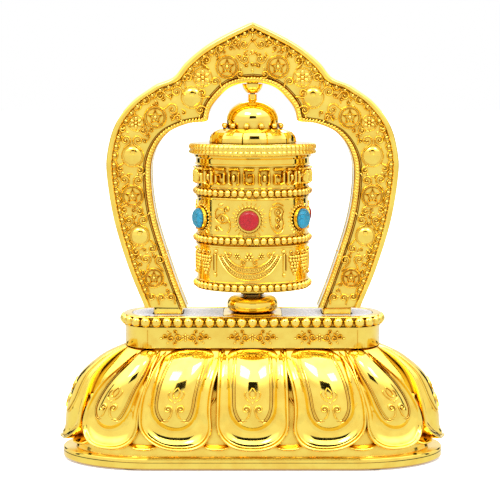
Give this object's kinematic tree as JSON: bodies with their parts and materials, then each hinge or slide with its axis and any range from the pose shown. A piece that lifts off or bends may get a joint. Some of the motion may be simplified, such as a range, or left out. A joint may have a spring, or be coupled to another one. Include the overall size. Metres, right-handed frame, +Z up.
{
  "type": "prayer wheel",
  "caption": "Tabletop prayer wheel: a motor-driven drum on an upright spindle under an ogee arch, on an oval deck over a lotus base.",
  "frame": {"origin": "on the ground, under the drum's spindle, at the centre of the feet", "axes": "+Z up along the spindle, +X to the viewer's right along the arch, +Y to the back"},
  "size_m": [0.106, 0.0408, 0.1185],
  "materials": {
    "plated_gold": "gold electroplate on moulded plastic, bright with a fine grain",
    "polished_gold": "gold electroplate on smooth moulded plastic, mirror bright",
    "foot_rubber": "soft black rubber",
    "screw_steel": "zinc-plated steel",
    "dark_plastic": "moulded black plastic",
    "cell_wrap": "printed shrink wrap, plain",
    "contact_metal": "nickel-plated spring strip",
    "switch_plastic": "moulded black plastic, ribbed",
    "board_green": "glass-fibre board with green mask",
    "capacitor_sleeve": "shrink sleeve",
    "gear_frame_plastic": "natural acetal",
    "gear_plastic": "natural acetal",
    "bearing_brass": "turned brass",
    "armature": "laminations and varnished windings",
    "motor_steel": "drawn steel can",
    "magnet": "ferrite",
    "lead_sleeve": "insulated wire",
    "clear_window": "clear moulded acrylic, glossy",
    "solar_cell": "dark solar cell with fine bus lines",
    "dark_collar": "glossy dark brown plastic",
    "coral_stone": "polished resin stone, coral red with fine crackle",
    "turquoise_stone": "polished resin stone, turquoise with dark veins",
    "wood_core": "plain turned wood",
    "scroll_paper": "rolled paper"
  },
  "bodies": {
    "root": {"bottom_cover": "plated_gold", "rubber_feet": "foot_rubber", "cover_screws": "screw_steel", "lotus_shell": "plated_gold", "battery_cradle": "dark_plastic", "battery": "cell_wrap", "contact_spring": "contact_metal", "contact_plate": "contact_metal", "door_hinge_pin": "screw_steel", "switch_body": "dark_plastic", "circuit_board": "board_green", "storage_capacitor": "capacitor_sleeve", "gear_frame": "gear_frame_plastic", "motor_plate": "gear_frame_plastic", "frame_screws": "screw_steel", "lower_bush": "bearing_brass", "idler_axle": "screw_steel", "motor_can": "motor_steel", "motor_magnets": "magnet", "motor_cap": "dark_plastic", "motor_terminals": "contact_metal", "motor_leads": "lead_sleeve", "deck": "plated_gold", "deck_screws": "screw_steel", "window_left": "clear_window", "window_right": "clear_window", "solar_cell_left": "solar_cell", "solar_cell_right": "solar_cell", "drive_boss": "polished_gold", "spindle_bush": "bearing_brass", "thrust_washer": "bearing_brass", "arch_front": "plated_gold", "arch_back": "plated_gold", "arch_screws": "screw_steel", "pivot_cup": "polished_gold", "pivot_bush": "bearing_brass"},
    "drum": {"spindle": "screw_steel", "spindle_collar": "dark_collar", "drum_gear": "gear_plastic", "drum_base": "plated_gold", "drum_shell": "plated_gold", "drum_lid": "plated_gold", "coral_jewels": "coral_stone", "turquoise_jewels": "turquoise_stone", "jewel_bezels": "polished_gold", "scroll_core": "wood_core", "prayer_scroll": "scroll_paper", "roof_collar": "polished_gold", "roof_beads": "polished_gold", "dome": "polished_gold", "finial_neck": "polished_gold", "top_pivot_pin": "screw_steel"},
    "idler": {"idler_gear": "gear_plastic"},
    "rotor": {"motor_shaft": "screw_steel", "motor_pinion": "bearing_brass", "motor_armature": "armature"},
    "switch": {"switch_slider": "switch_plastic"},
    "door": {"battery_door": "plated_gold"}
  },
  "joints": [
    {"name": "drum_spin", "type": "hinge", "parent": "root", "child": "drum", "pos_m": [0, 0, 0], "axis": [0, 0, 1], "continuous": true},
    {"name": "idler_spin", "type": "hinge", "parent": "root", "child": "idler", "pos_m": [0.01, 0, 0], "axis": [0, 0, 1], "continuous": true},
    {"name": "rotor_spin", "type": "hinge", "parent": "root", "child": "rotor", "pos_m": [0.018, 0, 0], "axis": [0, 0, 1], "continuous": true},
    {"name": "switch_slide", "type": "slide", "parent": "root", "child": "switch", "axis": [1, 0, 0], "range_m": [0, 0.002]},
    {"name": "door_swing", "type": "hinge", "parent": "root", "child": "door", "pos_m": [-0.03, 0, 0.0019], "axis": [0, 1, 0], "range_deg": [0, 80]}
  ],
  "couplings": [
    {"joint": "idler_spin", "follows": "drum_spin", "ratio": -4},
    {"joint": "rotor_spin", "follows": "drum_spin", "ratio": 12}
  ]
}
